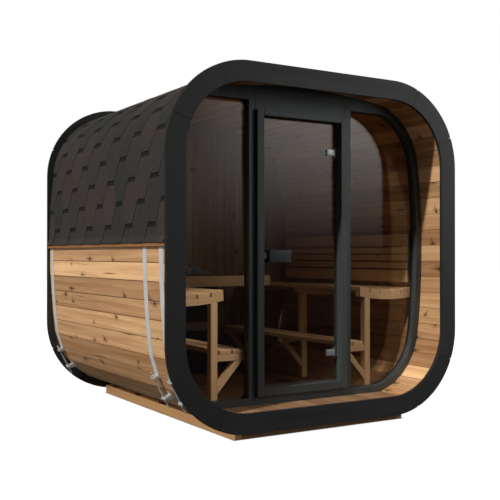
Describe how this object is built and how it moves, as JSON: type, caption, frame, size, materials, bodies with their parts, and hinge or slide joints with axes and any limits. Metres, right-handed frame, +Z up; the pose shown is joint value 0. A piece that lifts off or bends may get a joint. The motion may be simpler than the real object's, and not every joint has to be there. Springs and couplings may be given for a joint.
{
  "type": "cube sauna",
  "caption": "Outdoor cube sauna cabin: bulged stave shell with rounded corners, shingled roof, recessed black glazed front, hinged glass door, benches and stone heater.",
  "frame": {"origin": "bottom centre of the bounding box, at the underside of the base boards", "axes": "+Z up, +Y towards the back wall, +X to the right of someone facing the door; the front faces -Y"},
  "size_m": [2.0798, 1.95, 2.083],
  "materials": {
    "black_trim": "opaque black stain, satin",
    "black_frame": "opaque black stain, satin",
    "stave_wood": "oiled softwood with knots",
    "board_wood": "planed softwood with knots",
    "shingles": "mineral granules",
    "batten_wood": "oiled softwood",
    "base_wood": "oiled softwood",
    "bearer_wood": "raw treated softwood",
    "floor_wood": "oiled softwood",
    "bench_wood": "smooth planed softwood",
    "bronze_glass": "bronze tinted, clear",
    "handle_black": "black stain",
    "bright_chrome": "polished",
    "strap_steel": "rolled, slightly dull",
    "heater_black": "matt heat-proof paint",
    "stones": null
  },
  "bodies": {
    "cabin": {"front_trim_sides": "black_trim", "front_trim_rails": "black_trim", "front_trim_corners": "black_trim", "back_trim_sides": "black_trim", "back_trim_rails": "black_trim", "back_trim_corners": "black_trim", "left_wall": "stave_wood", "right_wall": "stave_wood", "roof_deck": "stave_wood", "bottom_staves": "stave_wood", "upper_corners": "stave_wood", "lower_corners": "stave_wood", "shingle_skin": "shingles", "drip_battens": "batten_wood", "skids": "base_wood", "base_end_boards": "base_wood", "cross_bearers": "bearer_wood", "floor_boards": "floor_wood", "window_frame_left": "black_frame", "window_frame_right": "black_frame", "window_glass_left": "bronze_glass", "window_glass_right": "bronze_glass", "front_wall_rails": "black_frame", "door_frame_jambs": "black_frame", "door_frame_rails": "black_frame", "back_wall": "board_wood", "hinge_plates": "bright_chrome", "strap_bands": "strap_steel", "strap_clamps": "strap_steel", "strap_rods": "strap_steel", "left_bench_top": "bench_wood", "right_bench_top": "bench_wood", "left_bench_frame": "bench_wood", "right_bench_frame": "bench_wood", "left_lower_bench": "bench_wood", "right_lower_bench": "bench_wood", "left_backrest": "bench_wood", "right_backrest": "bench_wood", "heater_body": "heater_black", "heater_stones": "stones", "heater_rail": "bench_wood"},
    "door": {"door_glass": "bronze_glass", "door_handle": "handle_black", "door_latch": "bright_chrome", "door_hinge_clamps": "bright_chrome"}
  },
  "joints": [
    {"name": "door_hinge", "type": "hinge", "parent": "cabin", "child": "door", "pos_m": [0.262, -0.698, 1.033], "axis": [0, 0, 1], "range_deg": [0, 90]}
  ]
}
